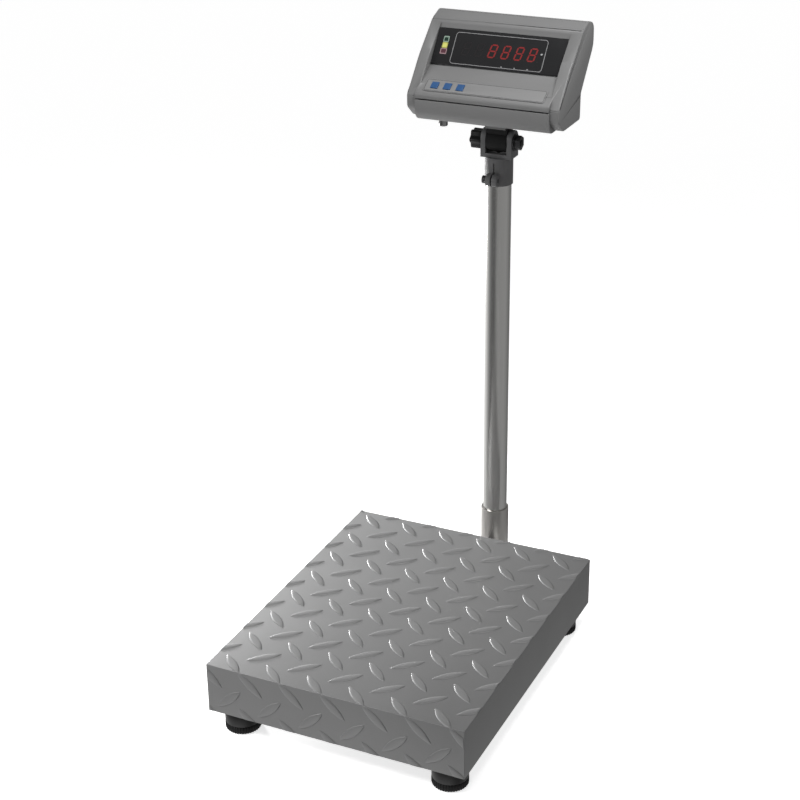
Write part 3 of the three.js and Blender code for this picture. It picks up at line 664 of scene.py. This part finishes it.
# The bracket's waist, up to this height, is painted black as painted shade.
SHADED_WAIST_TOP = 21.5  # above the tilt axis


def add_bracket():
    """The bracket's narrow waist, which faces the barrel, is painted black as the shade it lies in."""
    bracket = refine("head_bracket", 0.8)
    bracket.data.materials.append(OWN_FINISH["tilt_barrel"])
    shaded_waist_top = TILT_AXIS[2] + SHADED_WAIST_TOP * MM
    # Faces below the waist's top take the black nylon as painted shade.
    for face in bracket.data.polygons:
        face.material_index = int(face.center.z < shaded_waist_top)


CHEEK_ROUND = 2.4
CORNER_SHARE = 0.3  # rounding of the other corners, as a share of the cheeks'
BROW = 100  # the seam is flush from this height above the tilt axis
SEAM_ANGLE = math.radians(39.9)
SEAM_NORMAL = Vector((0, -math.sin(SEAM_ANGLE), math.cos(SEAM_ANGLE)))


def is_cheek_edge(edge, half):
    """Whether an edge runs round the outside of a cheek, and isn't part of the seam."""
    if len(edge.link_faces) != 2 or any(abs(abs(v.co.x) - half) > 0.01 * MM for v in edge.verts):
        return False
    side, rim = sorted(edge.link_faces, key=lambda face: -abs(face.normal.x))
    return abs(rim.normal.x) < 0.1 and abs(rim.normal.dot(SEAM_NORMAL)) < 0.999


def is_corner(edge):
    """Whether an edge stands out, and isn't part of the flush seam behind the window."""
    if len(edge.link_faces) != 2 or edge.calc_face_angle_signed() < math.radians(30):
        return False
    on_seam = any(abs(face.normal.dot(SEAM_NORMAL)) > 0.999 for face in edge.link_faces)
    return not (on_seam and edge.verts[0].co.z > TILT_AXIS[2] + BROW * MM)


def add_housing(node):
    """A housing whose cheeks have a softer edge than its other corners."""
    shape = whole_faces(node)
    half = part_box(node)[1].x
    weight = shape.edges.layers.float.new("bevel_weight_edge")
    for edge in shape.edges:
        if is_cheek_edge(edge, half):
            edge[weight] = 1
        elif is_corner(edge):
            edge[weight] = CORNER_SHARE
    thing = new_object(f"{node}_finished", shape)
    rounding = bevel(thing, CHEEK_ROUND, 4)
    rounding.limit_method = "WEIGHT"
    rounding.use_clamp_overlap = False
    settle(thing)
    finished(thing, "head", FINISHES["case"], node, slot="case")


# ---- display, lamps and keys ------------------------------------------------------------------

HEAD = spot(0, 0, 0, base=Matrix.Translation(TILT_AXIS))
WINDOW = spot(0, -23, 112.5, 52.1, HEAD)
WINDOW_FRONT = 1.8
INLAY_ROOT = 0.1
NOSE_Y, NOSE_Z, SHELF_ANGLE = -75.5, 80.9, 30.7
SHELF = spot(0, NOSE_Y, NOSE_Z, SHELF_ANGLE, HEAD)
DIGIT_X = [-51.2, -30.3, -9.5, 11.3, 32.1, 52.9]
DIGIT_MIDDLE = 28.5
DIGIT_HEIGHT = 22
DIGIT_WIDTH = 12
BAR = 2.3
SLANT = math.tan(math.radians(9))


def segment(x0, y0, x1, y1):
    """A six-cornered bar of a digit from one end to the other."""
    along = Vector((x1 - x0, y1 - y0)).normalized()
    aside = Vector((-along.y, along.x)) * BAR / 2
    first, last = Vector((x0, y0)), Vector((x1, y1))
    inset = along * BAR / 2
    return [first, first + inset - aside, last - inset - aside, last, last - inset + aside,
            first + inset + aside]


def digit_bars():
    """The outlines of the seven bars of a digit, centred on the origin and slanted."""
    w, h = DIGIT_WIDTH / 2 - BAR / 2, DIGIT_HEIGHT / 2 - BAR / 2
    ends = [(-w, h, w, h), (w, 0, w, h), (w, -h, w, 0), (-w, -h, w, -h), (-w, -h, -w, 0), (-w, 0, -w, h),
            (-w, 0, w, 0)]
    gap = 0.35
    for x0, y0, x1, y1 in ends:
        along = Vector((x1 - x0, y1 - y0)).normalized() * gap
        outline = segment(x0 + along.x, y0 + along.y, x1 - along.x, y1 - along.y)
        yield [(x + y * SLANT, y) for x, y in outline]


def joined(shapes):
    whole = bmesh.new()
    for shape in shapes:
        mesh = bpy.data.meshes.new("part")
        shape.to_mesh(mesh)
        shape.free()
        whole.from_mesh(mesh)
        bpy.data.meshes.remove(mesh)
    return whole


def moved(outline, x, y):
    return [(a + x, b + y) for a, b in outline]


def on_window(outline, rise):
    """An inlay whose face stands rise above the window's."""
    return plate(outline, WINDOW_FRONT - INLAY_ROOT, WINDOW_FRONT + rise)


def add_digits():
    lit = glowing("lit_segments", (0.12, 0.012, 0.012), (1.0, 0.06, 0.06), 0.11)
    dark = finish("unlit_segments", (0.019, 0.017, 0.018), 0.3, 0.0, 0.1, 200, 900, 0.05, 0.02, specular=0.25)
    for number, x in enumerate(DIGIT_X, 1):
        shown = number > 2
        bars = [on_window(moved(bar, x, DIGIT_MIDDLE), 0.06) for bar in digit_bars()]
        name = f"digit_{number}"
        thing = new_object(name, place_shape(joined(bars), WINDOW))
        finished(settle(thing), "head", lit if shown else dark, slot="digits")
    low = DIGIT_MIDDLE - DIGIT_HEIGHT / 2 + 1
    points = [on_window(moved(round_box(-1, 1, -1, 1, 0.95), x + 9.4, low), 0.06) for x in DIGIT_X]
    thing = new_object("decimal_points", place_shape(joined(points), WINDOW))
    finished(settle(thing), "head", dark, slot="digits")


def add_window_line():
    line = finish("window_line", (0.25, 0.25, 0.255), 0.4, 0.0, 0.06, 90, 900, 0.05, 0.02)
    outer = round_box(-73.2, 72.5, 3, 54, 5)
    inner = round_box(-72.2, 71.5, 4, 53, 4)
    ring = band(outer, inner, WINDOW_FRONT - INLAY_ROOT, WINDOW_FRONT + 0.05)
    marks = [on_window(moved(round_box(-1.2, 1.2, -0.9, 0.9, 0.8), x, 5.2), 0.06)
             for x in (9.4, 30.2, 50.5)]
    thing = new_object("window_line", place_shape(joined([ring, *marks]), WINDOW))
    finished(settle(thing), "head", line, slot="window")
    unit = on_window(moved(round_box(-1.7, 1.7, -1.3, 1.3, 1.2), 66.5, 30.8), 0.07)
    pale = finish("unit_lamp", (0.35, 0.36, 0.36), 0.35, 0.0, 0.06, 90, 900, 0.05, 0.02)
    thing = new_object("unit_lamp", place_shape(unit, WINDOW))
    finished(settle(thing), "head", pale, slot="window")


def add_lamps():
    frame_colors = {"green": (0.2, 0.27, 0.22), "yellow": (0.34, 0.34, 0.08), "red": (0.26, 0.17, 0.18)}
    cores = {"green": (0.012, 0.03, 0.02), "yellow": (0.5, 0.5, 0.14), "red": (0.07, 0.025, 0.035)}
    middles = {"green": 40.5, "yellow": 31, "red": 21.4}
    x = -87
    for name, middle in middles.items():
        half, tall = (5.2, 4.6) if name == "red" else (4.4, 4.6)
        outer = moved(round_box(-half, half, -tall, tall, 1, 4), x, middle)
        inner = moved(round_box(-half + 1.3, half - 1.3, -tall + 1.5, tall - 1.5, 0.8, 4), x, middle)
        if name == "green":
            outer = [(a, b + 2.4 * max(0, 1 - abs(a - x) / half) * (b > middle)) for a, b in outer]
        rim = band(outer, inner, WINDOW_FRONT - INLAY_ROOT, WINDOW_FRONT + 0.08)
        edge = glowing(f"{name}_lamp_rim", frame_colors[name], frame_colors[name], 0.25)
        thing = new_object(f"lamp_{name}_rim", place_shape(rim, WINDOW))
        finished(settle(thing), "head", edge, slot="lamp")
        core = on_window(inner, 0.03)
        glow = glowing(f"{name}_lamp_lens", cores[name], cores[name], 0.3, 0.2)
        thing = new_object(f"lamp_{name}_lens", place_shape(core, WINDOW))
        finished(settle(thing), "head", glow, slot="lamp")


STRIP_TOP = 1.1


def add_strip_line():
    line = finish("strip_line", (0.07, 0.07, 0.072), 0.45, 0.0, 0.06, 90, 900, 0.05, 0.02)
    outer = round_box(-94, 94, 7.5, 30, 3)
    inner = round_box(-93.2, 93.2, 8.3, 29.2, 2.2)
    ring = band(outer, inner, STRIP_TOP - 0.1, STRIP_TOP + 0.03)
    thing = new_object("strip_line", place_shape(ring, SHELF))
    finished(settle(thing), "head", line, slot="strip")


def add_keys():
    for number in (1, 2, 3):
        refine(f"key_{number}", 0.9, 3)


# ---- the whole --------------------------------------------------------------------------------

bpy.context.scene.view_settings.view_transform = "Standard"
add_camera()
add_floor()
add_studio()
for light in LIGHTS:
    add_light(*light)

add_tray()
for corner in (1, 2, 3, 4):
    add_foot(corner)
add_column()
for part, width in ROUNDED.items():
    refine(part, width)
add_bracket()
for part in ("front_housing", "rear_housing"):
    add_housing(part)
add_window_line()
add_digits()
add_lamps()
add_strip_line()
add_keys()

for part, thing in frame["nodes"].items():
    thing.data.materials.clear()
    thing.data.materials.append(FINISHES[SLOT_OF[part]])
